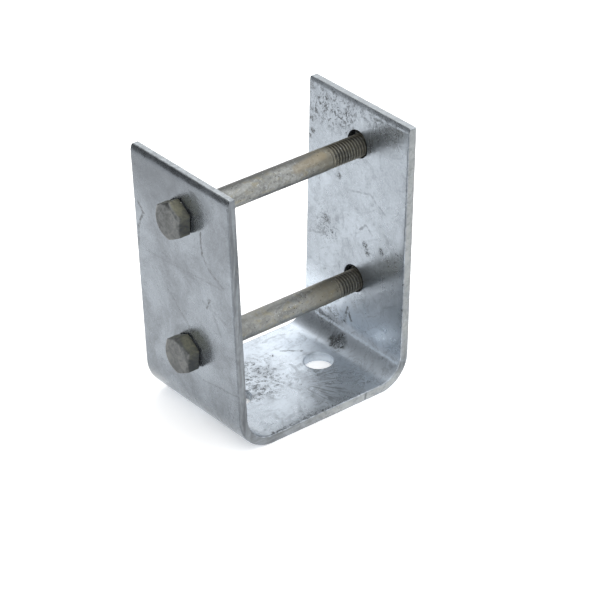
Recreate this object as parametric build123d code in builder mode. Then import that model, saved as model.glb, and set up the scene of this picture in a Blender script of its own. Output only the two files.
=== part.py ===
from build123d import *
from math import cos, radians, sin, sqrt, tan
import os

os.makedirs("parts", exist_ok=True)

# Post and bearer bracket: a flat bar bent to a U, with two hexagon bolts through its legs.
# Millimetres. The origin is the middle of the floor's underside, +X runs along the bolts
# from their heads to their nuts, +Y runs across the bar and +Z runs up the legs.

# Flat bar
bar_width = 76.0
bar_thick = 5.0
bar_edge_radius = 0.8
shear_roll_radius = 1.8

# Bent shape, with the legs sprung a little outwards
floor_inner_width = 96.0
head_bend_inner_radius = 15.5
nut_bend_inner_radius = 12.5
leg_splay_deg = 2.0
leg_length = 138.5

# Bolts
bolt_dia = 12.0
thread_crest_dia = 11.8
thread_length = 36.0
bolt_reach = 4.4
hex_across_flats = 18.0
head_height = 7.8
washer_face_height = 0.5
washer_face_inset = 0.7
crown_inset = 0.5
crown_angle_deg = 30.0
tip_chamfer = 1.3
low_head_turn_deg = 33.0
up_head_turn_deg = 32.0

# Nuts
nut_height = 10.8
nut_countersink = 0.8
low_nut_turn_deg = 12.0
up_nut_turn_deg = 47.0

# Punched holes
bolt_hole_clearance = 2.5
low_hole_height = 39.7
top_hole_margin = 23.0
floor_hole_dia = 15.0
floor_hole_spacing = 52.5
punch_rim = 0.2

# Fits
seat_gap = 0.1
thread_clearance = 0.1
trim_margin = 2.0

splay = radians(leg_splay_deg)
leg_hole_dia = bolt_dia + bolt_hole_clearance
low_along = low_hole_height
up_along = leg_length - top_hole_margin
hex_corner_radius = hex_across_flats / sqrt(3)
washer_face_radius = hex_across_flats / 2 - washer_face_inset
crown_radius = hex_across_flats / 2 - crown_inset
trim_radius = hex_corner_radius + trim_margin
crown_drop = (trim_radius - crown_radius) * tan(radians(crown_angle_deg))


def leg_point(side, along, depth):
    """A point of a leg: along its inner face from the sharp inner corner, and deep into the bar."""
    x = floor_inner_width / 2 + along * sin(splay) + depth * cos(splay)
    z = bar_thick + along * cos(splay) - depth * sin(splay)
    return (side * x, 0, z)


def leg_plane(side, along):
    """The inner face of a leg at one of its holes, facing outwards."""
    outwards = (side * cos(splay), 0, -sin(splay))
    return Plane(origin=leg_point(side, along, 0), x_dir=(0, 1, 0), z_dir=outwards)


def outer_face_x(height):
    """How far the outer face of a leg stands from the middle at a height."""
    corner_x, _, corner_z = leg_point(1, 0, bar_thick)
    return corner_x + (height - corner_z) * tan(splay)


def axis_height(along):
    """The height of a bolt that rests on the bottom of its two holes."""
    hole_bottom = leg_point(1, along - leg_hole_dia / 2, punch_rim)[2]
    return hole_bottom + bolt_dia / 2 + seat_gap


def head_seat(along):
    """Where the washer face of a head meets the leaning leg, from the middle."""
    return outer_face_x(axis_height(along) + washer_face_radius) + seat_gap


def nut_seat(along):
    """Where the face of a nut meets the leaning leg, from the middle."""
    return outer_face_x(axis_height(along) + crown_radius) + seat_gap


bolt_length = head_seat(up_along) + nut_seat(up_along) + nut_height + bolt_reach

# Punch: one hole through the thickness of the bar with its rims broken, at each size of hole
punches = {}
for hole_dia in (leg_hole_dia, floor_hole_dia):
    wall = hole_dia / 2
    flare = wall + punch_rim
    with BuildPart() as punch:
        with BuildSketch(Plane.XZ):
            with BuildLine():
                Polyline(
                    (0, -trim_margin),
                    (flare, -trim_margin),
                    (flare, 0),
                    (wall, punch_rim),
                    (wall, bar_thick - punch_rim),
                    (flare, bar_thick),
                    (flare, bar_thick + trim_margin),
                    (0, bar_thick + trim_margin),
                    close=True,
                )
            make_face()
        revolve(axis=Axis.Z)
    punches[hole_dia] = punch.part

# Bracket: the bar swept along its bent middle line, its edges rounded, then punched.
# The shear rolled one edge of each end over: outside on the head leg, inside on the nut leg.
with BuildPart() as bracket:
    corner_x = floor_inner_width / 2 + bar_thick / 2 * (1 - sin(splay)) / cos(splay)
    end_x, _, end_z = leg_point(1, leg_length, bar_thick / 2)
    with BuildLine(Plane.XZ) as middle_line:
        FilletPolyline(
            (-end_x, end_z),
            (-corner_x, bar_thick / 2),
            (corner_x, bar_thick / 2),
            (end_x, end_z),
            radius=(head_bend_inner_radius + bar_thick / 2, nut_bend_inner_radius + bar_thick / 2),
        )
    start = Plane(origin=middle_line.line @ 0, x_dir=(0, 1, 0), z_dir=middle_line.line % 0)
    with BuildSketch(start):
        Rectangle(bar_width, bar_thick)
    sweep()
    sheared_ends = bracket.faces().sort_by(Axis.Z)[-2:]
    end_edges = sheared_ends.edges().filter_by(Axis.Y).sort_by(Axis.X)
    fillet([end_edges[0], end_edges[2]], radius=shear_roll_radius)
    sheared_ends = bracket.faces().sort_by(Axis.Z)[-2:]
    end_edges = sheared_ends.edges().filter_by(Axis.Y).sort_by(Axis.X)
    sides = bracket.faces().filter_by(Axis.Y)
    fillet(sides.edges() + [end_edges[1], end_edges[3]], radius=bar_edge_radius)
    with Locations(*[leg_plane(side, along) for side in (-1, 1) for along in (low_along, up_along)]):
        add(punches[leg_hole_dia], mode=Mode.SUBTRACT)
    with GridLocations(floor_hole_spacing, 0, 2, 1):
        add(punches[floor_hole_dia], mode=Mode.SUBTRACT)
bracket.part.label = "bracket"
export_step(bracket.part, "parts/bracket.step")

# Bolts: hexagon head with a turned crown, washer face, plain shank and threaded stretch
bolt_rows = (
    ("lower_bolt", low_along, low_head_turn_deg),
    ("upper_bolt", up_along, up_head_turn_deg),
)
for name, along, turn in bolt_rows:
    seat = (-head_seat(along), 0, axis_height(along))
    across = Plane(origin=seat, x_dir=(0, 1, 0), z_dir=(1, 0, 0))
    lengthwise = Plane(origin=seat, x_dir=(1, 0, 0), z_dir=(0, -1, 0))
    shank = bolt_dia / 2
    crest = thread_crest_dia / 2
    thread_start = bolt_length - thread_length
    with BuildPart() as bolt:
        with BuildSketch(across.offset(-washer_face_height)):
            RegularPolygon(hex_across_flats / 2, 6, major_radius=False, rotation=turn)
        extrude(amount=washer_face_height - head_height)
        with BuildSketch(lengthwise):
            with BuildLine():
                Polyline(
                    (-washer_face_height, 0),
                    (-washer_face_height, trim_radius),
                    (crown_drop - head_height, trim_radius),
                    (-head_height, crown_radius),
                    (-head_height, 0),
                    close=True,
                )
            make_face()
        revolve(axis=Axis(seat, (1, 0, 0)), mode=Mode.INTERSECT)
        with BuildSketch(lengthwise):
            with BuildLine():
                Polyline(
                    (-washer_face_height, 0),
                    (-washer_face_height, washer_face_radius),
                    (0, washer_face_radius),
                    (0, shank),
                    (thread_start, shank),
                    (thread_start + shank - crest, crest),
                    (bolt_length - tip_chamfer, crest),
                    (bolt_length, crest - tip_chamfer),
                    (bolt_length, 0),
                    close=True,
                )
            make_face()
        revolve(axis=Axis(seat, (1, 0, 0)))
    bolt.part.label = name
    export_step(bolt.part, f"parts/{name}.step")

# Nuts: chamfered on both faces, countersunk, each against the far leg
nut_bore = thread_crest_dia / 2 + thread_clearance
nut_rows = (
    ("lower_nut", low_along, low_nut_turn_deg),
    ("upper_nut", up_along, up_nut_turn_deg),
)
for name, along, turn in nut_rows:
    seat = (nut_seat(along), 0, axis_height(along))
    across = Plane(origin=seat, x_dir=(0, 1, 0), z_dir=(1, 0, 0))
    lengthwise = Plane(origin=seat, x_dir=(1, 0, 0), z_dir=(0, -1, 0))
    with BuildPart() as nut:
        with BuildSketch(across):
            RegularPolygon(hex_across_flats / 2, 6, major_radius=False, rotation=turn)
        extrude(amount=nut_height)
        with BuildSketch(lengthwise):
            with BuildLine():
                Polyline(
                    (0, nut_bore + nut_countersink),
                    (0, crown_radius),
                    (crown_drop, trim_radius),
                    (nut_height - crown_drop, trim_radius),
                    (nut_height, crown_radius),
                    (nut_height, nut_bore + nut_countersink),
                    (nut_height - nut_countersink, nut_bore),
                    (nut_countersink, nut_bore),
                    close=True,
                )
            make_face()
        revolve(axis=Axis(seat, (1, 0, 0)), mode=Mode.INTERSECT)
    nut.part.label = name
    export_step(nut.part, f"parts/{name}.step")
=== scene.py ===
import math

import bpy
import numpy as np
from mathutils import Matrix, Vector, noise


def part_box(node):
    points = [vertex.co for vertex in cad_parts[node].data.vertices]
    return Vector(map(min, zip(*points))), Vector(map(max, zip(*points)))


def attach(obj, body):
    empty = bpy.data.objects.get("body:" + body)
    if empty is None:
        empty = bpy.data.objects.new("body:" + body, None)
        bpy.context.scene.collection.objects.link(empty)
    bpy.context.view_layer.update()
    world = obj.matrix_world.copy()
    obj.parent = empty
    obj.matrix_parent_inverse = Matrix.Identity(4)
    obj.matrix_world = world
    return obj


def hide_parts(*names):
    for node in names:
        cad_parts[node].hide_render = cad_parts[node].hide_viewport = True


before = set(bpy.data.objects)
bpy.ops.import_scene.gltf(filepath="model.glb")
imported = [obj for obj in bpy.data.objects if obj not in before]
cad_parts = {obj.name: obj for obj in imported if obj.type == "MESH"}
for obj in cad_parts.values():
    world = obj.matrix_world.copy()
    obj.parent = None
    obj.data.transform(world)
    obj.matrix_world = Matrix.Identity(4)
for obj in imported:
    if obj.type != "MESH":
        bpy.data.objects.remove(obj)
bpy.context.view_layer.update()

MM = 0.001

# Sizes of the part in millimetres, the same as in its source
BAR_WIDTH = 76.0
BAR_THICK = 5.0
FLOOR_INNER_WIDTH = 96.0
HEAD_BEND_RADIUS = 15.5
NUT_BEND_RADIUS = 12.5
LEG_SPLAY = math.radians(2.0)
LEG_LENGTH = 138.5
LOW_ALONG = 39.7
UP_ALONG = 115.5
LEG_HOLE_RADIUS = 7.25
FLOOR_HOLE_RADIUS = 7.5
FLOOR_HOLE_X = 26.25
PUNCH_RIM = 0.2
SEAT_GAP = 0.1
HEX_FLAT = 9.0
SHANK_RADIUS = 6.0
CREST_RADIUS = 5.9
THREAD_LENGTH = 36.0
HEAD_HEIGHT = 7.8
WASHER_FACE = 0.5
WASHER_RADIUS = 8.3
CROWN_RADIUS = 8.5
CROWN_SLOPE = math.tan(math.radians(30.0))
TIP_CHAMFER = 1.3
NUT_HEIGHT = 10.8
NUT_BORE = 6.0
NUT_SINK = 0.8

# The bar's skin in millimetres: (distance from the rim, drop below the face)
RIM_PROFILE = ((1.2, 0.0), (0.7, 0.01), (0.45, 0.08), (0.25, 0.2), (0.1, 0.4))
WALL_PROFILE = ((0.02, 0.7), (0.0, 1.1), (0.0, 2.5))
SKIN_INSETS, SKIN_DROPS = zip(*reversed(RIM_PROFILE + WALL_PROFILE))
CORNER_RADIUS = RIM_PROFILE[0][0]
SKIN_STEP = 1.5
END_LINES = [2.0, 2.5, 3.1, 3.8, 4.8]
# Rolled-over edges of the sheared ends: (depth, length)
HEAD_ROLL = (1.75, 3.9)
NUT_ROLL = (0.95, 3.0)
ROLL_POWER = 1.3
PUNCH_SEGMENTS = 80
PUNCH_OVERSHOOT = 2.0
WORN_RIM = PUNCH_RIM * 1.6

# Relief of the zinc coat: (size of the waves, depth, place in the noise)
BAR_RELIEF = ((16.0, 0.07, 3.0), (5.0, 0.06, 11.0), (2.2, 0.03, 23.0))
RIM_START, RIM_WIDTH = 35.8, 2.2
END_START, END_HEIGHT = 140.5, 3.0

# Hexagons and threads in millimetres
HEX_CORNER = 0.55
HEX_CORNER_CELLS = 5
HEX_FLAT_CELLS = 11
HEX_BEVEL = 0.22
FACE_RINGS = (2.5, 5.0, 7.2, 8.0)
# The face's rounded edge: (radius, drop)
FACE_EDGE = ((8.3, 0.01), (8.5, 0.05), (8.7, 0.13))
SIDE_SHARES = (0.25, 0.5, 0.75)
HEAD_SIDE = (-6.2, -WASHER_FACE)
PITCH = 1.75
THREAD_DEPTH = 0.95
THREAD_CREST = 0.2
THREAD_FLANK = 0.56
THREAD_RUN_OUT = 4.6
CREST_RUN_OUT = 2.5
LOW_THREAD_LEAD = 4.6
UP_THREAD_LEAD = 5.6
NUT_THREAD_DEPTH = 0.55
NUT_THREAD_SHARE = 0.58
BEFORE_NUT = -9.0
TINY = 1e-9


# Meshes

def new_object(name, verts, faces, smooth_angle):
    """A mesh object from points in millimetres, sharp above an angle in degrees."""
    mesh = bpy.data.meshes.new(name)
    mesh.from_pydata([tuple(v) for v in np.asarray(verts) * MM], [], faces)
    mesh.validate()
    mesh.update()
    obj = bpy.data.objects.new(name, mesh)
    bpy.context.scene.collection.objects.link(obj)
    smooth(mesh, smooth_angle)
    return obj


def smooth(mesh, angle):
    mesh.shade_smooth()
    mesh.set_sharp_from_angle(angle=math.radians(angle))


def relief(obj, layers, edge_layer=None):
    """Sinks a piece's skin by layers of noise (size, depth, place in the noise), never outwards."""
    mesh = obj.data
    count = len(mesh.vertices)
    points = np.empty(count * 3)
    normals = np.empty(count * 3)
    mesh.vertices.foreach_get("co", points)
    mesh.vertices.foreach_get("normal", normals)
    points = points.reshape(-1, 3)
    normals = normals.reshape(-1, 3)
    sink = np.zeros(count)
    for size, depth, shift in layers:
        scaled = points / (size * MM) + shift
        wave = np.array([noise.noise(Vector(p)) for p in scaled])
        sink += depth * np.clip(0.5 + 0.5 * wave, 0, 1)
    if edge_layer is not None:
        sink += edge_layer(points / MM)
    points -= normals * sink[:, None] * MM
    mesh.vertices.foreach_set("co", points.ravel())
    mesh.update()


def ring_faces(rings, count):
    """Quads between rings of count points each that follow one another."""
    faces = []
    for r in range(rings - 1):
        for k in range(count):
            n = (k + 1) % count
            faces.append([r * count + k, r * count + n, (r + 1) * count + n, (r + 1) * count + k])
    return faces


# Bracket

def leg_end():
    """The middle of the bar's sheared end, and the sharp corner of its middle line, as (x, z)."""
    half = BAR_THICK / 2
    inner = FLOOR_INNER_WIDTH / 2
    end = np.array([
        inner + LEG_LENGTH * math.sin(LEG_SPLAY) + half * math.cos(LEG_SPLAY),
        BAR_THICK + LEG_LENGTH * math.cos(LEG_SPLAY) - half * math.sin(LEG_SPLAY),
    ])
    corner_x = inner + half * (1 - math.sin(LEG_SPLAY)) / math.cos(LEG_SPLAY)
    return end, np.array([corner_x, half])


LEG_END, LEG_CORNER = leg_end()


def leg_run(bend_inner_radius):
    """The middle line on one side: lengths of leg, bend and half floor, and the bend's radius."""
    radius = bend_inner_radius + BAR_THICK / 2
    turn = math.pi / 2 - LEG_SPLAY
    tangent = radius * math.tan(turn / 2)
    leg = float(np.linalg.norm(LEG_END - LEG_CORNER)) - tangent
    return leg, radius * turn, float(LEG_CORNER[0]) - tangent, radius


HEAD_RUN = leg_run(HEAD_BEND_RADIUS)
NUT_RUN = leg_run(NUT_BEND_RADIUS)
HEAD_HALF = sum(HEAD_RUN[:3])
PATH_LENGTH = HEAD_HALF + sum(NUT_RUN[:3])


def on_path(s):
    """Middle (x, z) of the bar and its outward normal, at a length from the head leg's top."""
    on_nut_side = s > HEAD_HALF
    t = PATH_LENGTH - s if on_nut_side else s
    leg, arc, flat, radius = NUT_RUN if on_nut_side else HEAD_RUN
    down = np.array([-math.sin(LEG_SPLAY), -math.cos(LEG_SPLAY)])
    out = np.array([math.cos(LEG_SPLAY), -math.sin(LEG_SPLAY)])
    if t <= leg:
        point = LEG_END + down * t
        normal = out
    elif t <= leg + arc:
        centre = LEG_END + down * leg - out * radius
        swing = -LEG_SPLAY - (t - leg) / radius
        normal = np.array([math.cos(swing), math.sin(swing)])
        point = centre + normal * radius
    else:
        point = np.array([flat - (t - leg - arc), BAR_THICK / 2])
        normal = np.array([0.0, -1.0])
    side = 1.0 if on_nut_side else -1.0
    return np.array([side * point[0], point[1]]), np.array([side * normal[0], normal[1]])


def grid_lines(length, end_lines=()):
    """Grid lines over a length, closer at the rounded rim of both ends."""
    rim = [inset for inset, _ in reversed(RIM_PROFILE)] + list(end_lines)
    count = max(2, round((length - 2 * rim[-1]) / SKIN_STEP))
    inner = np.linspace(rim[-1], length - rim[-1], count)
    return np.array(rim + list(inner[1:-1]) + [length - r for r in reversed(rim)])


def rounded_corner(a, b, length, width):
    """Where a point of the flat blank goes when the blank's corners are rounded."""
    da, db = min(a, length - a), min(b, width - b)
    inset, other = min(da, db), max(da, db)
    if other >= CORNER_RADIUS - TINY:
        return a, b
    radius = CORNER_RADIUS - inset
    share = (other - inset) / radius if radius > TINY else 0.0
    angle = math.pi / 4 * (1 - share)
    near = CORNER_RADIUS - radius * math.cos(angle)
    far = CORNER_RADIUS - radius * math.sin(angle)
    na, nb = (near, far) if da <= db else (far, near)
    return (na if a < length / 2 else length - na), (nb if b < width / 2 else width - nb)


def shear_roll(side, s):
    """The rolled-over edge of each sheared end: outside on the head leg, inside on the nut leg."""
    end_gap, (depth, length) = (s, HEAD_ROLL) if side > 0 else (PATH_LENGTH - s, NUT_ROLL)
    return depth * max(0.0, 1 - end_gap / length) ** ROLL_POWER


def bar_point(s, b, side, inset):
    """A point of the bar's skin. side is 1 outside the U and -1 inside."""
    pa, pb = rounded_corner(s, b, PATH_LENGTH, BAR_WIDTH)
    drop = float(np.interp(inset, SKIN_INSETS, SKIN_DROPS))
    lift = BAR_THICK / 2 - max(drop, shear_roll(side, pa))
    point, normal = on_path(pa)
    x, z = point + normal * side * lift
    return x, pb - BAR_WIDTH / 2, z


def bar_skin():
    """The bent bar as one closed skin of quads, with rounded rims."""
    along = grid_lines(PATH_LENGTH, END_LINES)
    across = grid_lines(BAR_WIDTH)
    na, nb = len(along), len(across)
    verts, index, faces = [], {}, []
    for side in (1, -1):
        for i, a in enumerate(along):
            for j, b in enumerate(across):
                inset = min(a, PATH_LENGTH - a, b, BAR_WIDTH - b)
                index[side, i, j] = len(verts)
                verts.append(bar_point(a, b, side, inset))
    for i in range(na - 1):
        for j in range(nb - 1):
            ring = ((i, j), (i + 1, j), (i + 1, j + 1), (i, j + 1))
            faces.append([index[1, p, q] for p, q in ring])
            faces.append([index[-1, p, q] for p, q in reversed(ring)])
    rim = [(i, 0) for i in range(na)] + [(na - 1, j) for j in range(1, nb)]
    rim += [(i, nb - 1) for i in range(na - 2, -1, -1)] + [(0, j) for j in range(nb - 2, 0, -1)]
    rings = [[index[1, i, j] for i, j in rim]]
    levels = [(1, inset) for inset, _ in WALL_PROFILE]
    levels += [(-1, inset) for inset, _ in reversed(WALL_PROFILE[:-1])]
    for side, inset in levels:
        ring = []
        for i, j in rim:
            a = inset if i == 0 else PATH_LENGTH - inset if i == na - 1 else along[i]
            b = inset if j == 0 else BAR_WIDTH - inset if j == nb - 1 else across[j]
            ring.append(len(verts))
            verts.append(bar_point(a, b, side, inset))
        rings.append(ring)
    rings.append([index[-1, i, j] for i, j in rim])
    count = len(rim)
    for upper, lower in zip(rings, rings[1:]):
        for m in range(count):
            n = (m + 1) % count
            faces.append([upper[n], upper[m], lower[m], lower[n]])
    return verts, faces


def punch(radius, origin, axis):
    """A revolved punch with flared ends, for a hole with broken rims."""
    flare, rim = radius + WORN_RIM, WORN_RIM
    profile = [
        (-PUNCH_OVERSHOOT, flare), (0.0, flare), (rim * 0.3, radius + rim * 0.3), (rim, radius),
        (BAR_THICK / 2, radius), (BAR_THICK - rim, radius),
        (BAR_THICK - rim * 0.3, radius + rim * 0.3), (BAR_THICK, flare),
        (BAR_THICK + PUNCH_OVERSHOOT, flare),
    ]
    axis = np.array(axis, float)
    side = np.array([0.0, 1.0, 0.0])
    up = np.cross(axis, side)
    verts = []
    for depth, reach in profile:
        for k in range(PUNCH_SEGMENTS):
            angle = 2 * math.pi * k / PUNCH_SEGMENTS
            spoke = side * math.cos(angle) + up * math.sin(angle)
            verts.append(np.array(origin) + axis * depth + spoke * reach)
    faces = ring_faces(len(profile), PUNCH_SEGMENTS)
    faces.append(list(reversed(range(PUNCH_SEGMENTS))))
    faces.append([(len(profile) - 1) * PUNCH_SEGMENTS + k for k in range(PUNCH_SEGMENTS)])
    return verts, faces


def leg_point(side, along, depth):
    """A point of a leg: along its inner face from the sharp inner corner, and deep into the bar."""
    x = FLOOR_INNER_WIDTH / 2 + along * math.sin(LEG_SPLAY) + depth * math.cos(LEG_SPLAY)
    z = BAR_THICK + along * math.cos(LEG_SPLAY) - depth * math.sin(LEG_SPLAY)
    return np.array([side * x, 0.0, z])


def rim_lumps(points):
    """Extra unevenness of the thick zinc along the bar's long edges and sheared ends."""
    edge = np.clip((np.abs(points[:, 1]) - RIM_START) / RIM_WIDTH, 0, 1)
    edge = np.maximum(edge, np.clip((points[:, 2] - END_START) / END_HEIGHT, 0, 1))
    lumps = np.array([noise.noise(Vector(p * 0.55)) for p in points])
    fine = np.array([noise.noise(Vector(p * 1.3 + 7.0)) for p in points])
    depth = 0.08 * np.clip(0.5 + 0.8 * lumps, 0, 1) + 0.05 * np.clip(0.5 + fine, 0, 1)
    return edge * depth


def all_punches():
    """The six punches of the bracket as one mesh."""
    verts, faces = [], []
    for side in (-1, 1):
        leg_axis = (side * math.cos(LEG_SPLAY), 0, -math.sin(LEG_SPLAY))
        holes = [(LEG_HOLE_RADIUS, leg_point(side, along, 0), leg_axis)
                 for along in (LOW_ALONG, UP_ALONG)]
        holes.append((FLOOR_HOLE_RADIUS, (side * FLOOR_HOLE_X, 0, 0), (0, 0, 1)))
        for hole in holes:
            v, f = punch(*hole)
            faces += [[i + len(verts) for i in face] for face in f]
            verts += v
    return verts, faces


def build_bracket():
    bar = new_object("bracket_skin", *bar_skin(), 35.0)
    cutter = new_object("punches", *all_punches(), 35.0)
    boolean = bar.modifiers.new("holes", "BOOLEAN")
    boolean.operation = "DIFFERENCE"
    boolean.solver = "EXACT"
    boolean.object = cutter
    graph = bpy.context.evaluated_depsgraph_get()
    mesh = bpy.data.meshes.new_from_object(bar.evaluated_get(graph))
    bar.modifiers.clear()
    old = bar.data
    bar.data = mesh
    bpy.data.meshes.remove(old)
    bpy.data.objects.remove(cutter, do_unlink=True)
    mesh.name = "bracket_skin"
    relief(bar, BAR_RELIEF, rim_lumps)
    smooth(mesh, 38.0)
    return bar


# Bolts and nuts: a skin over rows (x, radius), each a number or one for each angle

def hex_ring(turn_deg):
    """Angles and radii of a hexagon with slightly rounded corners."""
    inner_corner = (HEX_FLAT - HEX_CORNER) / math.cos(math.pi / 6)

    def corner_point(side, swing):
        spot = math.radians(turn_deg + 60 * side)
        centre = inner_corner * np.array([math.cos(spot), math.sin(spot)])
        return centre + HEX_CORNER * np.array([math.cos(spot + swing), math.sin(spot + swing)])

    points = []
    for side in range(6):
        for k in range(HEX_CORNER_CELLS + 1):
            points.append(corner_point(side, math.pi / 3 * k / HEX_CORNER_CELLS - math.pi / 6))
        start, end = points[-1], corner_point(side + 1, -math.pi / 6)
        for k in range(1, HEX_FLAT_CELLS):
            points.append(start + (end - start) * k / HEX_FLAT_CELLS)
    points = np.array(points)
    return np.arctan2(points[:, 1], points[:, 0]), np.hypot(points[:, 0], points[:, 1])


def hex_end(outer, height):
    """Rows of a chamfered hexagon end face, from its middle out, at a height above x = 0."""
    rows = [(height, radius) for radius in FACE_RINGS]
    for radius, sink in FACE_EDGE:
        rows.append((height - sink, np.minimum(radius, outer - HEX_BEVEL * 0.9)))
    edge, edge_sink = FACE_EDGE[-1]
    for share in (0.35, 0.7, 1.0):
        chamfer = edge + (outer - HEX_BEVEL - edge) * share
        flat = np.minimum(edge, outer - HEX_BEVEL * (1.3 - 0.4 * share))
        reach = np.where(outer - HEX_BEVEL > edge, chamfer, flat)
        sink = np.maximum(edge_sink, (reach - CROWN_RADIUS) * CROWN_SLOPE)
        rows.append((height - sink, reach))
    drop = np.maximum(0.0, outer - CROWN_RADIUS) * CROWN_SLOPE
    for share in (0.5, 1.0):
        sink = drop + HEX_BEVEL * (0.35 + 1.1 * share)
        rows.append((height - sink, outer - HEX_BEVEL * (1 - share) * 0.3))
    return rows


def thread_wave(x, angles, start):
    """Depth of the thread's groove: crests and roots rounded, fading in at the run-out."""
    phase = np.mod(x / PITCH - angles / (2 * math.pi), 1.0)
    away = np.abs(phase - 0.5) * 2
    groove = np.clip((away - THREAD_CREST) / THREAD_FLANK, 0, 1)
    groove = groove * groove * (3 - 2 * groove)
    fade = np.clip((x - start) / THREAD_RUN_OUT, 0, 1)
    return THREAD_DEPTH * groove * fade


def revolve_rows(name, rows, angles, seat, closed):
    """A skin over rows, closed at both ends by a middle point or else joined from last to first."""
    verts = []
    count = len(angles)
    last = (len(rows) - 1) * count
    for x, radius in rows:
        level = np.broadcast_to(seat[0] + x, count)
        verts.extend(np.column_stack([
            level, seat[1] + radius * np.cos(angles), seat[2] + radius * np.sin(angles)]))
    faces = ring_faces(len(rows), count)
    for k in range(count):
        n = (k + 1) % count
        if closed:
            faces += [[n, k, len(verts)], [len(verts) + 1, last + k, last + n]]
        else:
            faces.append([last + k, last + n, n, k])
    if closed:
        for x, _ in (rows[0], rows[-1]):
            verts.append(np.array([seat[0] + float(np.mean(x)), seat[1], seat[2]]))
    return new_object(name, verts, faces, 40.0)


def x_range(node):
    """The lowest and highest x of a CAD node, in millimetres."""
    low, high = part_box(node)
    return low[0] / MM, high[0] / MM


def axis_height(along):
    """The height of a bolt that rests on the bottom of its holes."""
    bottom = leg_point(1, along - LEG_HOLE_RADIUS, PUNCH_RIM)[2]
    return bottom + SHANK_RADIUS + SEAT_GAP


def mark(obj, name, rows):
    """Keeps a number for each vertex under a name, for the material; the end points get 0."""
    layer = obj.data.attributes.new(name, "FLOAT", "POINT")
    values = np.append(np.concatenate(rows), (0, 0))
    layer.data.foreach_set("value", values.astype(np.float32))


def build_bolt(name, node, along, turn_deg, thread_lead):
    low_x, high_x = x_range(node)
    seat = (low_x + HEAD_HEIGHT, 0.0, axis_height(along))
    length = high_x - seat[0]
    angles, outer = hex_ring(turn_deg)

    # head, from the middle of its face to its washer face, and the fillet to the shank
    rows = [(-x, radius) for x, radius in hex_end(outer, HEAD_HEIGHT)]
    under = -WASHER_FACE
    crown = rows[-1][0]
    rows += [(crown + (under - 0.25 - crown) * share, outer) for share in SIDE_SHARES]
    rows += [
        (under - 0.25, outer), (under - 0.08, outer - 0.08), (under, outer - 0.3),
        (under, WASHER_RADIUS + 0.12), (under + 0.06, WASHER_RADIUS), (-0.08, WASHER_RADIUS),
        (0.0, WASHER_RADIUS - 0.15), (0.0, SHANK_RADIUS + 0.35), (0.3, SHANK_RADIUS + 0.06),
        (0.6, SHANK_RADIUS),
    ]

    # plain shank, thread and chamfered tip
    thread_start = length - THREAD_LENGTH - thread_lead
    tip = length - TIP_CHAMFER
    rows += [(x, SHANK_RADIUS) for x in np.arange(1.6, thread_start, 1.3)]
    for x in np.arange(thread_start, length - 0.02, PITCH / 13):
        thinner = np.clip((x - thread_start) / CREST_RUN_OUT, 0, 1)
        crest = SHANK_RADIUS + (CREST_RADIUS - 0.02 - SHANK_RADIUS) * thinner
        cone = CREST_RADIUS - max(0.0, x - tip)
        rows.append((x, np.minimum(crest - thread_wave(x, angles, thread_start), cone)))
    rows.append((length, np.minimum(rows[-1][1], CREST_RADIUS - TIP_CHAMFER)))
    rows.append((length, 3.0))
    obj = revolve_rows(name, rows, angles, seat, closed=True)

    grooves, sides, lit_side_rows = [], [], []
    # The hex sides that look up get painted light in the material.
    upward = np.clip(np.sin(angles) * 1.6 - 0.1, 0, 1)
    for x, _ in rows:
        middle = float(np.mean(x))
        threaded = float(thread_start < middle < tip)
        on_side = float(HEAD_SIDE[0] < middle < HEAD_SIDE[1])
        grooves.append(threaded * thread_wave(x, angles, thread_start) / THREAD_DEPTH)
        sides.append(np.full(len(angles), on_side))
        lit_side_rows.append(on_side * upward)
    mark(obj, "groove", grooves)
    mark(obj, "head_side", sides)
    mark(obj, "head_lit_sides", lit_side_rows)
    relief(obj, ((9.0, 0.05, 5.0 + along), (2.6, 0.05, 17.0 + along), (1.1, 0.02, 31.0)))
    return obj


def build_nut(name, node, along, turn_deg):
    seat = (x_range(node)[0], 0.0, axis_height(along))
    angles, outer = hex_ring(turn_deg)
    half = NUT_HEIGHT / 2
    mouth = NUT_BORE + NUT_SINK
    face = [(x, radius) for x, radius in hex_end(outer, half) if np.min(radius) > mouth + 0.1]
    near = [(half - x, radius) for x, radius in face]
    far = [(half + x, radius) for x, radius in face]
    near_edge, far_edge = near[-1][0], far[-1][0]
    rows = [(0.0, mouth)] + near
    rows += [(near_edge + (far_edge - near_edge) * share, outer) for share in SIDE_SHARES]
    rows += far[::-1] + [(NUT_HEIGHT, mouth)]
    for x in np.arange(NUT_HEIGHT - 0.1, 0.05, -PITCH / 10):
        wave = thread_wave(x, angles, BEFORE_NUT) * NUT_THREAD_SHARE
        cone = mouth - min(x, NUT_HEIGHT - x)
        rows.append((x, np.maximum(NUT_BORE + NUT_THREAD_DEPTH - wave, cone)))
    obj = revolve_rows(name, rows, angles, seat, closed=False)
    relief(obj, ((7.0, 0.05, 41.0 + along), (2.2, 0.04, 53.0 + along)))
    return obj


# Materials

STROKE_CORE = 0.35


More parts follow.
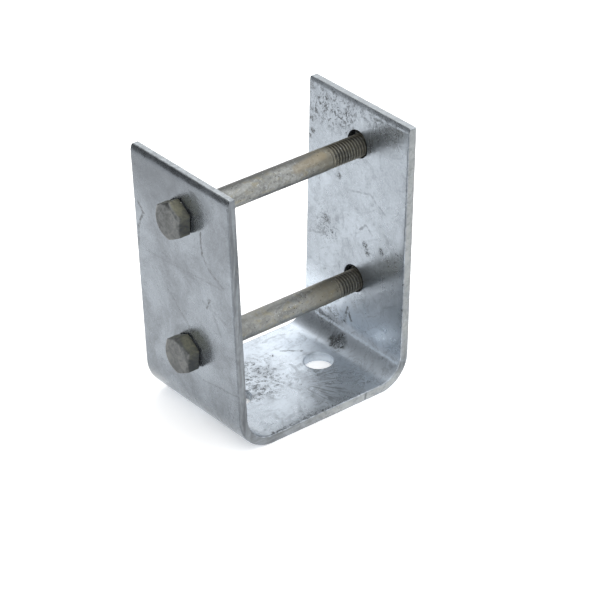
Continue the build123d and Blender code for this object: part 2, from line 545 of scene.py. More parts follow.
class Graph:
    """Short ways to lay shader nodes. Places are in millimetres."""

    def __init__(self, name):
        self.material = bpy.data.materials.new(name)
        self.material.use_nodes = True
        self.tree = self.material.node_tree
        self.shader = self.tree.nodes["Principled BSDF"]
        coords = self.tree.nodes.new("ShaderNodeTexCoord")
        self.place = self.vector("SCALE", coords.outputs["Object"], scale=1 / MM)
        split = self.tree.nodes.new("ShaderNodeSeparateXYZ")
        self.put(split.inputs[0], self.place)
        self.x, self.y, self.z = split.outputs

    def put(self, socket, value):
        """Links or sets a socket; None leaves it as it is."""
        if isinstance(value, bpy.types.NodeSocket):
            self.tree.links.new(value, socket)
        elif value is not None:
            socket.default_value = value

    def vector(self, operation, a, b=None, scale=None):
        node = self.tree.nodes.new("ShaderNodeVectorMath")
        node.operation = operation
        self.put(node.inputs[0], a)
        self.put(node.inputs[1], b)
        self.put(node.inputs[3], scale)
        return node.outputs[1 if operation in ("DOT_PRODUCT", "LENGTH") else 0]

    def math(self, operation, a, b=None):
        node = self.tree.nodes.new("ShaderNodeMath")
        node.operation = operation
        self.put(node.inputs[0], a)
        self.put(node.inputs[1], b)
        return node.outputs[0]

    def fold(self, operation, values):
        total = values[0]
        for value in values[1:]:
            total = self.math(operation, total, value)
        return total

    def times(self, *values):
        return self.fold("MULTIPLY", values)

    def plus(self, *values):
        return self.fold("ADD", values)

    def most(self, *values):
        return self.fold("MAXIMUM", values)

    def noise(self, size, detail=3.0, roughness=0.5, distortion=0.0, vector=None, stretch=None,
              output="Fac"):
        """Noise whose blobs are about size millimetres; stretch squeezes it along the axes."""
        source = vector if vector is not None else self.place
        if stretch is not None:
            source = self.vector("MULTIPLY", source, stretch)
        node = self.tree.nodes.new("ShaderNodeTexNoise")
        self.put(node.inputs["Vector"], source)
        node.inputs["Scale"].default_value = 1.0 / size
        node.inputs["Detail"].default_value = detail
        node.inputs["Roughness"].default_value = roughness
        node.inputs["Distortion"].default_value = distortion
        return node.outputs[output]

    def wobble(self, size, reach):
        """A wandering offset, of half of reach millimetres at most."""
        waves = self.noise(size, 3.0, output="Color")
        return self.vector("SCALE", self.vector("SUBTRACT", waves, (0.5, 0.5, 0.5)), scale=reach)

    def cells(self, size):
        """Distance from the middles of random cells of a size."""
        node = self.tree.nodes.new("ShaderNodeTexVoronoi")
        self.put(node.inputs["Vector"], self.place)
        node.inputs["Scale"].default_value = 1.0 / size
        return node.outputs["Distance"]

    def span(self, value, low, high, to_low=0.0, to_high=1.0):
        """A soft step of a value from low to high, from one number to another."""
        node = self.tree.nodes.new("ShaderNodeMapRange")
        node.interpolation_type = "SMOOTHSTEP"
        node.clamp = False
        self.put(node.inputs[0], value)
        for socket, number in zip(node.inputs[1:5], (low, high, to_low, to_high)):
            self.put(socket, number)
        return node.outputs[0]

    def ridges(self, pattern, thin, wide, on=1.0, off=0.0):
        """Thin lines where a noise crosses its middle."""
        gap = self.math("ABSOLUTE", self.math("SUBTRACT", pattern, 0.5))
        return self.span(gap, thin, wide, on, off)

    def mix(self, share, a, b):
        """A colour between a and b."""
        node = self.tree.nodes.new("ShaderNodeMix")
        node.data_type = "RGBA"
        node.clamp_factor = False
        for socket, value in ((0, share), (6, a), (7, b)):
            self.put(node.inputs[socket], value)
        return node.outputs[2]

    def cover(self, tone, colour, *shares):
        """A colour laid over a tone by the product of shares."""
        return self.mix(self.times(*shares), tone, colour)

    def blend(self, share, a, b):
        """A number between a and b."""
        node = self.tree.nodes.new("ShaderNodeMix")
        node.clamp_factor = False
        for socket, value in ((0, share), (2, a), (3, b)):
            self.put(node.inputs[socket], value)
        return node.outputs[0]

    def near(self, offset, width):
        """1 where an offset is short, falling to 0 where it is a width long."""
        gap = self.vector("LENGTH", offset)
        return self.span(gap, width * STROKE_CORE, width, 1.0, 0.0)

    def spot(self, centre, width, place):
        return self.near(self.vector("SUBTRACT", place, centre), width)

    def stroke(self, start, end, width, place):
        """1 on the stroke from start to end, falling to 0 a width away."""
        run = Vector(end) - Vector(start)
        offset = self.vector("SUBTRACT", place, start)
        share = self.vector("DOT_PRODUCT", offset, tuple(run / run.length_squared))
        share = self.math("MINIMUM", self.math("MAXIMUM", share, 0.0), 1.0)
        reached = self.vector("SCALE", tuple(run), scale=share)
        return self.near(self.vector("SUBTRACT", offset, reached), width)

    def zone(self, u, u_low, u_high, v, v_low, v_high, soft):
        """1 inside a rectangle of two coordinates, fading out over a soft border."""
        edges = ((u, u_low, soft), (u, u_high, -soft), (v, v_low, soft), (v, v_high, -soft))
        return self.times(*[self.span(w, edge - s, edge + s) for w, edge, s in edges])

    def clusters(self, u, v, table):
        """The strongest of the zones of a table."""
        total = 0.0
        for u_low, u_high, v_low, v_high, soft, strength in table:
            zone = self.zone(u, u_low, u_high, v, v_low, v_high, soft)
            total = self.most(total, self.times(zone, strength))
        return total

    def joined(self, a, b, c):
        node = self.tree.nodes.new("ShaderNodeCombineXYZ")
        for socket, value in zip(node.inputs, (a, b, c)):
            self.put(socket, value)
        return node.outputs[0]

    def turned(self, vector, angles):
        node = self.tree.nodes.new("ShaderNodeMapping")
        self.put(node.inputs["Vector"], vector)
        node.inputs["Rotation"].default_value = angles
        return node.outputs[0]

    def attribute(self, name):
        node = self.tree.nodes.new("ShaderNodeAttribute")
        node.attribute_name = name
        return node.outputs["Fac"]

    def bump(self, height, strength, distance, normal=None):
        node = self.tree.nodes.new("ShaderNodeBump")
        node.inputs["Strength"].default_value = strength
        node.inputs["Distance"].default_value = distance * MM
        self.put(node.inputs["Height"], height)
        self.put(node.inputs["Normal"], normal)
        return node.outputs[0]

    def finish(self, tone, metallic, roughness, normal):
        names = ("Base Color", "Metallic", "Roughness", "Normal")
        for name, value in zip(names, (tone, metallic, roughness, normal)):
            self.put(self.shader.inputs[name], value)
        return self.material


def zinc(value, warmth=0.0):
    """A linear zinc colour of a brightness; it is bluish, and warmth shifts it towards yellow."""
    red, green, blue = 0.905 + warmth, 1.0 + 0.3 * warmth, 1.105 - 1.2 * warmth
    return (value * red, value * green, value * blue, 1.0)


# Where the masks of the material change, in millimetres: (nothing of it, all of it)
NUT_LEG_X = (43.0, 49.0)
HEAD_LEG_X = (-43.0, -49.0)
FLOOR_Z = (12.0, 5.5)
ROLLED_SIDE_GAP = (0.35, 0.12)
SHEARED_END_GAP = (0.7, 0.3)
HOLE_WALL_REACH = (7.72, 7.56)
HEX_HEAD_X = (-52.0, -54.0)
UPPER_BOLT_Z = (75.0, 85.0)

# Feathered fan in the floor's coat
FAN_X, FAN_Y = 4.0, -7.0
FAN_RAYS = 13.0
FAN_STRETCH = 0.10

# The middles of both heads on the near leg, and how far round them the near leg is painted lighter,
# which thins the shade they leave on it
HEAD_SPOTS = ((-57.0, -7.0, 119.3), (-54.3, -7.0, 43.5))
HEAD_LIGHT_REACH = 19.0

# Clusters of ash flecks, over y and z on the far leg and over x and y on the floor:
# (low, high, low, high, soft border, strength)
LEG_CLUSTERS = (
    (2.0, 40.0, 121.0, 144.0, 7.0, 1.0), (-34.0, 10.0, 133.0, 144.0, 5.0, 0.8),
    (13.0, 31.0, 58.0, 75.0, 5.0, 0.8), (8.0, 30.0, 8.0, 21.0, 5.0, 1.0),
)
FLOOR_CLUSTERS = (
    (-34.0, 6.0, -8.0, 24.0, 9.0, 1.0), (-24.0, -6.0, -12.0, 6.0, 5.0, 1.0),
    (26.0, 40.0, -36.0, -14.0, 6.0, 0.5),
)

# Lines that this piece carries in known places: (from, to, width, strength)
PLACED_LINES = (
    # near leg
    ((-56.9, -15.2, 117.5), (-56.5, -15.4, 105.5), 1.0, 0.75),
    ((-56.5, -15.4, 105.5), (-56.3, -20.2, 98.9), 1.0, 0.5),
    ((-56.3, -20.2, 98.9), (-56.2, -30.5, 93.5), 1.1, 0.4),
    ((-55.7, -19.6, 81.5), (-55.5, -16.5, 76.0), 0.9, 0.75),
    ((-55.7, -19.6, 81.5), (-55.6, -17.6, 80.3), 0.8, 0.6),
    ((-55.9, 29.9, 86.8), (-56.1, -28.4, 92.3), 0.9, 0.26),
    ((-55.9, 20.0, 92.0), (-55.9, -12.5, 87.5), 1.2, 0.2),
    ((-55.7, -18.1, 81.2), (-55.1, -27.0, 64.0), 1.2, 0.28),
    ((-55.5, -14.0, 78.0), (-55.4, -31.0, 73.5), 1.2, 0.25),
    ((-55.4, 14.0, 72.0), (-54.9, -3.5, 56.0), 1.3, 0.26),
    ((-53.9, -9.9, 31.3), (-54.0, -36.5, 35.0), 0.8, 0.35),
    ((-56.8, 34.5, 113.0), (-56.5, 30.5, 108.1), 1.2, 0.7),
    ((-56.5, 30.5, 108.1), (-56.3, 35.2, 99.0), 1.2, 0.75),
    ((-56.3, 35.2, 99.0), (-55.8, 36.5, 88.0), 1.4, 0.45),
    # far leg and its bend
    ((48.8, 4.0, 25.5), (48.5, 6.0, 17.5), 1.4, 0.8),
    ((48.8, 4.0, 25.5), (48.6, 1.0, 19.5), 1.4, 0.8),
    ((48.2, 25.5, 14.5), (48.2, 13.3, 11.2), 1.3, 0.6),
    ((49.8, 37.0, 56.0), (50.0, 23.0, 61.0), 0.9, 0.4),
    ((51.1, 6.0, 92.4), (51.2, -10.8, 96.6), 0.9, 0.3),
    ((51.2, -10.8, 96.6), (51.0, -22.4, 90.4), 0.9, 0.3),
    ((50.4, -4.0, 74.1), (50.6, -8.5, 78.8), 0.9, 0.4),
    ((50.6, -8.5, 78.8), (50.5, -13.2, 75.2), 0.9, 0.4),
    # floor
    ((17.5, 19.4, 5.0), (26.0, 12.6, 5.0), 1.0, 0.5),
)

# Blots in known places: (middle, reach)
PLACED_BLOTS = (
    # far leg
    ((52.0, 35.4, 120.8), 2.5), ((51.8, 34.3, 114.5), 2.5), ((51.7, 36.4, 110.6), 2.0),
    ((51.2, 13.2, 97.3), 2.4), ((50.2, -8.0, 67.4), 2.8), ((50.0, -9.9, 63.8), 2.9),
    ((50.2, -20.6, 69.0), 2.8), ((50.3, 22.0, 69.4), 3.0), ((50.1, 17.5, 64.0), 1.5),
    # its bend
    ((43.7, 5.5, 7.7), 3.6), ((43.1, 9.5, 7.2), 2.8), ((41.0, 6.2, 6.0), 2.8),
    ((42.2, 1.3, 6.7), 2.6), ((45.9, 4.1, 9.9), 2.2),
    # floor
    ((-15.0, -5.5, 5.0), 2.2), ((-12.0, 1.8, 5.0), 2.2), ((10.8, 19.0, 5.0), 1.8),
    # front edges
    ((49.8, -37.6, 57.4), 1.0), ((49.4, -37.7, 43.0), 1.2), ((-57.4, -37.8, 138.8), 1.3),
)


class BarZinc(Graph):
    """The bracket's coat, which knows from its coordinates where on the bent bar it is."""

    def __init__(self):
        super().__init__("zinc_bar")
        self.warp = self.wobble(7.0, 4.0)
        self.bent = self.vector("ADD", self.place, self.warp)
        self.shaken = self.vector("ADD", self.place, self.wobble(1.6, 1.8))
        self.lay_places()
        self.lay_patterns()

    def lay_places(self):
        """Which part of the bar a point is on, and its distance from the rims."""
        self.across = self.math("ABSOLUTE", self.x)
        self.nut_leg = self.span(self.x, *NUT_LEG_X)
        self.head_leg = self.span(self.x, *HEAD_LEG_X)
        self.floor_part = self.span(self.z, *FLOOR_Z)
        self.inside = self.most(self.nut_leg, self.floor_part)
        outwards = self.math("SUBTRACT", self.across, FLOOR_INNER_WIDTH / 2)
        upwards = self.math("SUBTRACT", self.z, BAR_THICK)
        along = self.plus(self.times(outwards, math.sin(LEG_SPLAY)),
                          self.times(upwards, math.cos(LEG_SPLAY)))
        self.end_gap = self.math("SUBTRACT", LEG_LENGTH, along)
        self.side_gap = self.math("SUBTRACT", BAR_WIDTH / 2, self.math("ABSOLUTE", self.y))
        self.rolled_side = self.span(self.side_gap, *ROLLED_SIDE_GAP)
        self.sheared_end = self.span(self.end_gap, *SHEARED_END_GAP)

    def lay_patterns(self):
        """The noises that several layers share."""
        self.clouds = self.noise(26.0, 5.0, 0.62, 0.6, vector=self.bent)
        self.patches = self.noise(8.0, 5.0, 0.62, 1.2, vector=self.bent)
        self.mottle = self.noise(2.6, 4.0, 0.6, 0.8)
        self.grain = self.noise(1.0, 3.0, 0.6)
        self.drags = self.noise(5.0, 4.0, 0.6, 1.0, stretch=(0.4, 0.28, 1.6),
                                vector=self.turned(self.bent, (0.6, 0.0, 0.0)))
        self.drags_back = self.noise(4.0, 4.0, 0.6, 1.0, stretch=(0.4, 0.3, 1.7),
                                     vector=self.turned(self.bent, (-0.9, 0.0, 0.4)))

    def clean_coat(self):
        """The coat without its dirt: random tone, lighter towards the far leg's bottom and the
        floor's far end, a dull patch on the floor, the bend's tones, and painted light and shade on
        the legs, round the heads, by the upper thread, in the far leg's top corner and on the near
        leg's top.
        """
        x, y, z = self.x, self.y, self.z
        cloud = self.span(self.clouds, 0.33, 0.66)
        # Painted light and shade: one coat in three brightnesses, darker on the near leg, lighter
        # on the far leg and lightest on the floor.
        tone = self.mix(cloud, zinc(0.165), zinc(0.275))
        tone = self.mix(self.nut_leg, tone, self.mix(cloud, zinc(0.335), zinc(0.445)))
        tone = self.mix(self.floor_part, tone, self.mix(cloud, zinc(0.44), zinc(0.60)))
        low_leg = self.span(z, 46.0, 16.0, 0.0, 0.9)
        tone = self.cover(tone, zinc(0.9), self.nut_leg, low_leg)
        far_floor = self.span(x, -8.0, 26.0, 0.0, 0.6)
        tone = self.cover(tone, zinc(0.85), self.floor_part, far_floor)
        self.dull = self.times(self.floor_part, self.zone(x, 19.0, 38.0, y, 0.0, 28.0, 5.0))
        tone = self.cover(tone, zinc(0.7), self.dull, 0.35)
        self.bend = self.zone(x, 38.5, 52.0, z, 5.6, 16.0, 2.2)
        tone = self.cover(tone, zinc(0.45), self.bend, 0.4)
        tone = self.cover(tone, zinc(0.24), self.bend, self.span(y, 2.0, 14.0, 0.0, 0.6))
        # Painted shade: a soft dark patch on the far leg beside the upper bolt's thread.
        painted_thread_shade = self.zone(y, -36.0, -14.0, z, 100.0, 132.0, 8.0)
        tone = self.cover(tone, zinc(0.24), painted_thread_shade, self.nut_leg, 0.4)
        # Painted light: the near leg lighter round both heads, thinning their shade on it.
        upper, lower = [self.spot(spot, HEAD_LIGHT_REACH, self.place) for spot in HEAD_SPOTS]
        tone = self.cover(tone, zinc(0.36), self.most(upper, lower), 0.5)
        # Painted shade: the far leg darker in its upper back corner.
        painted_corner_shade = self.zone(y, -4.0, 50.0, z, 114.0, 155.0, 12.0)
        tone = self.cover(tone, zinc(0.3), painted_corner_shade, self.nut_leg, 0.6)
        veils = (
            (self.patches, 0.50, 0.70, 0.5, 0.24), (self.drags, 0.56, 0.74, 0.45, 0.24),
            (self.drags_back, 0.57, 0.74, 0.35, 0.26), (self.mottle, 0.52, 0.74, 0.28, 0.26),
        )
        for pattern, low, high, share, value in veils:
            tone = self.cover(tone, zinc(value), self.span(pattern, low, high), share)
        grain_share = self.blend(self.head_leg, 0.16, 0.07)
        tone = self.cover(tone, zinc(0.75), self.span(self.grain, 0.38, 0.75), grain_share)
        tone = self.cover(tone, zinc(0.17), self.feathers(), self.floor_part, 0.6)
        # Painted shade: the near leg darker towards its top and its back edge, in patches.
        painted_top_shade = self.span(self.end_gap, 42.0, 8.0)
        shade_towards_back = self.span(self.plus(y, self.times(self.patches, 24.0)), -28.0, 34.0)
        return self.cover(tone, zinc(0.1, -0.01), self.head_leg, painted_top_shade, shade_towards_back, 0.72)

    def feathers(self):
        """A fan of rays in front of the far floor hole."""
        angle = self.math("ARCTAN2", self.math("SUBTRACT", self.y, FAN_Y),
                          self.math("SUBTRACT", self.x, FAN_X))
        flat = self.vector("MULTIPLY", self.bent, (1, 1, 0))
        reach = self.vector("LENGTH", self.vector("SUBTRACT", flat, (FAN_X, FAN_Y, 0.0)))
        rays = self.joined(self.times(angle, FAN_RAYS), self.times(reach, FAN_STRETCH), 0.0)
        fan = self.noise(1.0, 4.0, 0.6, 0.5, vector=rays)
        return self.times(self.span(fan, 0.47, 0.60), self.span(reach, 5.0, 12.0),
                          self.span(reach, 34.0, 20.0),
                          self.zone(self.x, 4.0, 34.0, self.y, -60.0, -8.0, 5.0))

    def ash_marks(self):
        """How dark the ash is: flecks in clusters, thin curls, and marks in known places."""
        leg_zones = self.clusters(self.y, self.z, LEG_CLUSTERS)
        floor_zones = self.clusters(self.x, self.y, FLOOR_CLUSTERS)
        zones = self.most(self.times(leg_zones, self.nut_leg),
                          self.times(floor_zones, self.floor_part))
        scatter = self.span(self.noise(13.0, 3.0, 0.6, 0.8), 0.62, 0.74)
        fleck_share = self.most(self.times(scatter, self.blend(self.inside, 0.5, 0.7)), zones)
        flecks = self.ridges(self.noise(5.0, 3.5, 0.62, 2.0), 0.016, 0.055)
        flecks = self.times(flecks, self.span(self.noise(2.6, 3.0, 0.6), 0.44, 0.58))
        curls = self.ridges(self.noise(7.5, 3.0, 0.6, 2.0, vector=self.bent), 0.006, 0.026)
        curls = self.times(curls, self.span(self.noise(6.0, 2.0, 0.5), 0.42, 0.60))
        loose = self.span(self.noise(17.0, 2.0, 0.5), 0.52, 0.64)
        curl_share = self.most(self.times(zones, 0.8),
                               self.times(loose, self.blend(self.inside, 0.30, 0.55)))
        marks = self.most(self.times(flecks, fleck_share), self.times(curls, curl_share))
        marks = self.most(self.times(marks, 0.85), self.placed_marks())
        edge_dirt = self.stroke((-33.0, -36.8, 5.0), (6.0, -36.8, 5.0), 1.6, self.shaken)
        broken = self.span(self.noise(1.3, 3.0, 0.6), 0.46, 0.58, 0.0, 0.85)
        return self.most(marks, self.times(edge_dirt, broken))

    def placed_marks(self):
        """The marks in known places, added one at a time to keep the shader small."""
        self.drawn = self.vector("ADD", self.shaken, self.vector("SCALE", self.warp, scale=0.45))
        lines = 0.0
        for start, end, width, strength in PLACED_LINES:
            line = self.stroke(start, end, width, self.drawn)
            lines = self.most(lines, self.times(line, strength))
        blots = 0.0
        for centre, reach in PLACED_BLOTS:
            blots = self.most(blots, self.spot(centre, reach, self.shaken))
        rings = self.ridges(self.noise(2.0, 2.0, 0.5, 1.2), 0.03, 0.10, 0.95, 0.12)
        blots = self.times(blots, rings)
        broken = self.span(self.noise(2.0, 3.0, 0.6), 0.34, 0.58, 0.15, 1.0)
        return self.most(self.times(lines, broken), blots)

    def stained(self, tone, marks):
        """The coat with its ash, stain, a light line on the floor, a painted highlight along the
        far bend, and the floor holes' walls.
        """
        tone = self.mix(marks, tone, zinc(0.07, 0.04))
        stain = self.stroke((43.3, 7.4, 7.2), (42.6, 3.4, 6.8), 6.2, self.drawn)
        stained = self.span(self.mottle, 0.34, 0.56, 0.1, 0.85)
        tone = self.cover(tone, zinc(0.10, 0.04), stain, stained)
        floor_line = self.stroke((35.2, -26.5, 5.0), (25.9, -38.0, 5.0), 0.9, self.shaken)
        tone = self.cover(tone, zinc(0.85), floor_line, 0.6)
        # Painted highlight: a thin light line along the far bend.
        painted_bend_highlight = self.stroke((47.4, 28.0, 12.6), (47.3, -38.0, 12.3), 1.1, self.shaken)
        uneven = self.span(self.mottle, 0.36, 0.56, 0.2, 0.6)
        tone = self.cover(tone, zinc(0.95), painted_bend_highlight, uneven)
        from_hole = self.joined(self.math("SUBTRACT", self.across, FLOOR_HOLE_X), self.y, 0.0)
        hole_wall = self.span(self.vector("LENGTH", from_hole), *HOLE_WALL_REACH)
        return self.cover(tone, zinc(0.5, 0.02), self.floor_part, hole_wall, 0.35)

    def side_tone(self):
        """The rolled sides of the bar, streaked along it."""
        floor_streaks = self.noise(2.2, 4.0, 0.65, 0.4, stretch=(0.12, 0.3, 1.0))
        leg_streaks = self.noise(2.2, 4.0, 0.65, 0.4, stretch=(1.0, 0.3, 0.10))
        streaks = self.blend(self.floor_part, leg_streaks, floor_streaks)
        tone = self.mix(self.span(streaks, 0.36, 0.62), zinc(0.10, 0.02), zinc(0.225, 0.02))
        towards_bend = self.span(self.x, -40.0, 20.0, 0.1, 0.75)
        tone = self.cover(tone, zinc(0.42, 0.07), self.floor_part, towards_bend)
        up_leg = self.span(self.z, 2.0, 34.0, 0.0, 0.8)
        tone = self.cover(tone, zinc(0.32, 0.07), self.nut_leg, up_leg)
        tone = self.mix(self.span(self.mottle, 0.48, 0.64, 0.0, 0.45), tone, zinc(0.15, 0.05))
        tick = self.stroke((25.9, -37.8, 5.0), (25.2, -38.0, 0.8), 0.9, self.shaken)
        return self.cover(tone, zinc(0.05, 0.05), tick, 0.75)

    def edged(self, tone):
        """The coat with its rolled sides, sheared ends, a painted dark line along the rims and a
        painted darker band below the ends.
        """
        tone = self.mix(self.rolled_side, tone, self.side_tone())
        end_mottle = self.span(self.mottle, 0.38, 0.66)
        end_tone = self.mix(end_mottle, zinc(0.26, 0.04), zinc(0.44, 0.03))
        tone = self.mix(self.sheared_end, tone, end_tone)
        # Painted shade: a dark line along the rims, where the face turns into the rolled side.
        corner = self.times(self.span(self.side_gap, 0.08, 0.25),
                            self.span(self.side_gap, 1.1, 0.5))
        patchy_rim_shade = self.span(self.noise(4.0, 4.0, 0.6, 0.5), 0.36, 0.56, 0.35, 1.0)
        tone = self.cover(tone, zinc(0.10), corner, patchy_rim_shade, 0.62)
        # Painted shade: a darker band below the sheared ends, where the rolled-over edge faces dark
        # surroundings.
        painted_end_shade = self.span(self.end_gap, 11.0, 2.5)
        uneven = self.span(self.mottle, 0.30, 0.60, 0.6, 1.0)
        end_share = self.blend(self.inside, 0.42, 0.2)
        tone = self.cover(tone, zinc(0.14), painted_end_shade, uneven, end_share)
        bare = self.span(self.mottle, 0.42, 0.62, 0.8, 0.0)
        return self.cover(tone, zinc(0.46, 0.03), self.sheared_end, bare)

    def roughness(self, marks):
        sawn = self.most(self.rolled_side, self.sheared_end)
        return self.plus(
            self.span(self.patches, 0.35, 0.7, 0.0, 0.09),
            self.span(self.clouds, 0.35, 0.7, -0.03, 0.04),
            self.times(marks, 0.2), self.blend(self.head_leg, 0.27, 0.21),
            self.times(self.most(self.bend, self.dull), 0.2), self.times(sawn, 0.15))

    def relief(self, marks):
        """Waves, drags and grain, and the height of the ash."""
        normal = self.bump(self.noise(11.0, 3.0, 0.5, 0.8), 0.45, 0.5)
        drags = self.plus(self.drags, self.times(self.mottle, 0.5))
        normal = self.bump(drags, 0.22, 0.10, normal)
        normal = self.bump(self.grain, 0.12, 0.03, normal)
        return self.bump(self.math("SUBTRACT", 1.0, marks), 0.5, 0.12, normal)


def bar_zinc():
    coat = BarZinc()
    tone = coat.clean_coat()
    marks = coat.ash_marks()
    tone = coat.edged(coat.stained(tone, marks))
    return coat.finish(tone, 0.88, coat.roughness(marks), coat.relief(marks))


def bolt_zinc():
    """The duller, yellowish coat of the bolts and nuts."""
    g = Graph("zinc_bolt")
    clouds = g.noise(11.0, 5.0, 0.6, 1.0, stretch=(0.6, 1.3, 1.3))
    blotch = g.noise(4.2, 4.0, 0.62, 1.5, stretch=(0.5, 1.0, 1.0))
    mottle = g.noise(1.8, 4.0, 0.6, 0.6)
    grain = g.noise(0.7, 3.0, 0.6)
    on_upper = g.span(g.z, *UPPER_BOLT_Z)

    # coat of the shank
    light = g.mix(on_upper, zinc(0.235, 0.10), zinc(0.26, 0.095))
    tone = g.mix(g.span(clouds, 0.34, 0.64), zinc(0.13, 0.10), light)
    mottle_share = g.blend(on_upper, 0.2, 0.42)
    veils = (
        (blotch, 0.50, 0.66, 0.55, (0.24, 0.218, 0.145, 1.0)),
        (blotch, 0.46, 0.32, 0.6, zinc(0.13, 0.08)),
        (mottle, 0.52, 0.68, mottle_share, zinc(0.40, 0.06)),
        (mottle, 0.47, 0.34, mottle_share, zinc(0.07, 0.08)),
        (grain, 0.45, 0.75, 0.16, zinc(0.34, 0.05)),
    )
    for pattern, low, high, share, colour in veils:
        tone = g.cover(tone, colour, g.span(pattern, low, high), share)
    # Painted shade: the upper bolt's back half, seen as its top edge, darker.
    back_shade_share = g.blend(on_upper, 0.0, 0.9)
    tone = g.cover(tone, zinc(0.06, 0.10), g.span(g.y, -3.6, 0.5), back_shade_share)
    browned = g.span(clouds, 0.30, 0.60, 0.25, 0.7)
    tone = g.cover(tone, (0.150, 0.134, 0.092, 1.0), g.span(g.x, 8.0, 30.0), browned)
    # Painted highlight: a golden line along the upper bolt's shank.
    golden_highlight = g.stroke((10.0, -4.6, 123.1), (27.0, -3.4, 124.2), 3.4, g.place)
    tone = g.cover(tone, (0.235, 0.19, 0.115, 1.0), golden_highlight, 0.4)
    chalk = g.span(g.cells(1.5), 0.12, 0.30, 0.34, 0.0)
    chalky = g.span(g.noise(9.0, 3.0, 0.6, 1.0), 0.50, 0.60)
    tone = g.cover(tone, zinc(0.55, 0.03), chalk, chalky)

    # heads: their faces, their sides, and painted light on the sides that look up
    face_tone = g.mix(g.span(blotch, 0.40, 0.62), zinc(0.068, 0.055), zinc(0.118, 0.06))
    tone = g.cover(tone, face_tone, g.span(g.x, *HEX_HEAD_X), 0.85)
    side_tone = g.mix(g.span(blotch, 0.38, 0.62), zinc(0.08, 0.05), (0.13, 0.128, 0.10, 1.0))
    tone = g.cover(tone, side_tone, g.attribute("head_side"), 0.8)
    lit_side_share = g.span(mottle, 0.36, 0.62, 0.4, 0.8)
    tone = g.cover(tone, (0.25, 0.245, 0.18, 1.0), g.attribute("head_lit_sides"), lit_side_share)

    # pits, and painted shade in the thread's grooves
    pits = g.times(g.span(g.cells(2.0), 0.10, 0.24, 1.0, 0.0),
                   g.span(g.noise(8.0, 2.0), 0.48, 0.60))
    tone = g.cover(tone, zinc(0.045, 0.09), pits, 0.75)
    # Painted shade: the thread's grooves darker.
    tone = g.cover(tone, zinc(0.06, 0.09), g.attribute("groove"), 0.75)

    normal = g.bump(blotch, 0.55, 0.28)
    normal = g.bump(mottle, 0.4, 0.14, normal)
    normal = g.bump(grain, 0.3, 0.06, normal)
    normal = g.bump(g.math("SUBTRACT", 1.0, pits), 0.6, 0.12, normal)
    return g.finish(tone, 0.8, g.span(clouds, 0.3, 0.7, 0.34, 0.52), normal)


# The object

bracket = build_bracket()
bracket.data.materials.clear()
bracket.data.materials.append(bar_zinc())
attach(bracket, "root")
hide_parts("bracket")

# CAD node, its hole's place along the leg, its turn in degrees, and a bolt's thread lead
fastener_zinc = bolt_zinc()
fasteners = (
    (build_bolt, "lower_bolt", LOW_ALONG, 33.0, LOW_THREAD_LEAD),
    (build_bolt, "upper_bolt", UP_ALONG, 32.0, UP_THREAD_LEAD),
    (build_nut, "lower_nut", LOW_ALONG, 12.0),
    (build_nut, "upper_nut", UP_ALONG, 47.0),
)
for build, node, *details in fasteners:
    piece = build(node + "_threaded", node, *details)
    piece.data.materials.append(fastener_zinc)
    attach(piece, "root")
    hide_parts(node)


# Stage: a matt white table that glows a little, to come out as white as the photo's

TABLE_HALF = 5.0
TABLE_DROP = 0.0002
PAPER_WHITE = 0.97
PAPER_GLOW = 0.3

quarters = ((-1, -1), (1, -1), (1, 1), (-1, 1))
corners = [(i * TABLE_HALF, j * TABLE_HALF, 0) for i, j in quarters]
floor_mesh = bpy.data.meshes.new("floor")
floor_mesh.from_pydata(corners, [], [[0, 1, 2, 3]])
floor = bpy.data.objects.new("floor", floor_mesh)
floor.location.z = -TABLE_DROP
bpy.context.scene.collection.objects.link(floor)
floor_mat = bpy.data.materials.new("floor_paper")
floor_mat.use_nodes = True
paper = floor_mat.node_tree.nodes["Principled BSDF"].inputs
paper["Base Color"].default_value = (PAPER_WHITE, PAPER_WHITE, PAPER_WHITE, 1)
paper["Roughness"].default_value = 0.9
paper["Specular IOR Level"].default_value = 0.0
paper["Emission Color"].default_value = (1.0, 1.0, 1.0, 1.0)
paper["Emission Strength"].default_value = PAPER_GLOW
floor_mesh.materials.append(floor_mat)


# Light

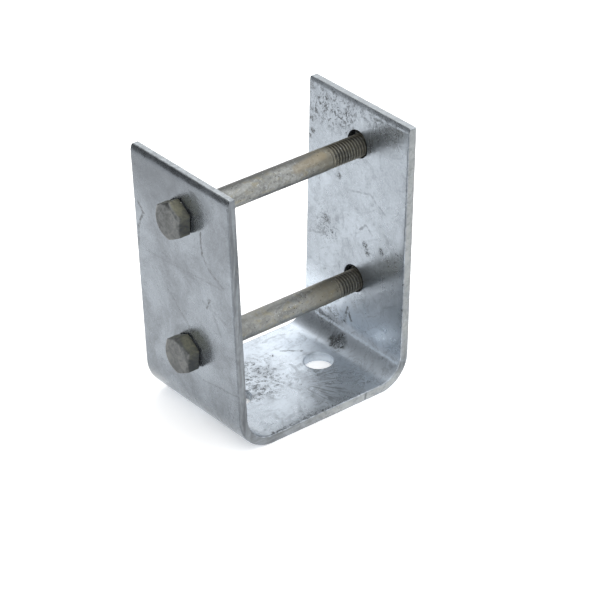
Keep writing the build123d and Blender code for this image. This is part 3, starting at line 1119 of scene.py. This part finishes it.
class Studio:
    """A white world whose strength changes with the direction."""

    def __init__(self, strength):
        world = bpy.data.worlds.new("studio")
        bpy.context.scene.world = world
        world.use_nodes = True
        self.tree = world.node_tree
        self.background = self.tree.nodes["Background"]
        coords = self.tree.nodes.new("ShaderNodeTexCoord")
        self.direction = coords.outputs["Generated"]
        start = self.tree.nodes.new("ShaderNodeValue")
        start.outputs[0].default_value = strength
        self.total = start.outputs[0]

    def lobe(self, direction, inner_deg, outer_deg, value, operation="ADD"):
        """Adds light round a direction, or multiplies what is there."""
        dot = self.tree.nodes.new("ShaderNodeVectorMath")
        dot.operation = "DOT_PRODUCT"
        self.tree.links.new(self.direction, dot.inputs[0])
        dot.inputs[1].default_value = Vector(direction).normalized()
        span = self.tree.nodes.new("ShaderNodeMapRange")
        span.interpolation_type = "SMOOTHSTEP"
        span.clamp = False
        self.tree.links.new(dot.outputs[1], span.inputs[0])
        neutral = 0.0 if operation == "ADD" else 1.0
        outer, inner = math.cos(math.radians(outer_deg)), math.cos(math.radians(inner_deg))
        for socket, number in zip(span.inputs[1:5], (outer, inner, neutral, value)):
            socket.default_value = number
        join = self.tree.nodes.new("ShaderNodeMath")
        join.operation = operation
        self.tree.links.new(self.total, join.inputs[0])
        self.tree.links.new(span.outputs[0], join.inputs[1])
        self.total = join.outputs[0]

    def finish(self, colour):
        self.background.inputs["Color"].default_value = colour
        self.tree.links.new(self.total, self.background.inputs["Strength"])


studio = Studio(1.05)
studio.lobe((0.0, 0.0, 1.0), 10, 60, 1.1)
studio.lobe((0.536, 0.669, 0.515), 6, 34, 0.35)
studio.lobe((0.536, -0.66, 0.513), 8, 36, 0.8)
studio.lobe((-0.515, 0.669, 0.45), 28, 52, 0.18, "MULTIPLY")
studio.finish((1.0, 1.0, 1.0, 1.0))


# Camera, as solved from the photo's edges

AZIMUTH, ELEVATION, ROLL = math.radians(-38.6906), math.radians(31.1522), math.radians(-0.7313)
TARGET = np.array([14.7748, 0.0, 45.3664]) * MM
DISTANCE = 1.471498
LENS = 177.4215
SENSOR = 36.0
CLIP = (0.05, 50.0)

back = np.array([
    math.sin(AZIMUTH) * math.cos(ELEVATION),
    -math.cos(AZIMUTH) * math.cos(ELEVATION),
    math.sin(ELEVATION),
])
right = np.cross((0.0, 0.0, 1.0), back)
right /= np.linalg.norm(right)
up = np.cross(back, right)
right_rolled = math.cos(ROLL) * right + math.sin(ROLL) * up
up_rolled = -math.sin(ROLL) * right + math.cos(ROLL) * up
camera_data = bpy.data.cameras.new("camera")
camera_data.lens = LENS
camera_data.sensor_width = SENSOR
camera_data.clip_start, camera_data.clip_end = CLIP
camera = bpy.data.objects.new("camera", camera_data)
bpy.context.scene.collection.objects.link(camera)
axes = np.column_stack([right_rolled, up_rolled, back])
place = TARGET + back * DISTANCE
camera.matrix_world = Matrix([[*axes[row], place[row]] for row in range(3)] + [[0, 0, 0, 1]])
bpy.context.scene.camera = camera
bpy.context.scene.view_settings.view_transform = "Standard"
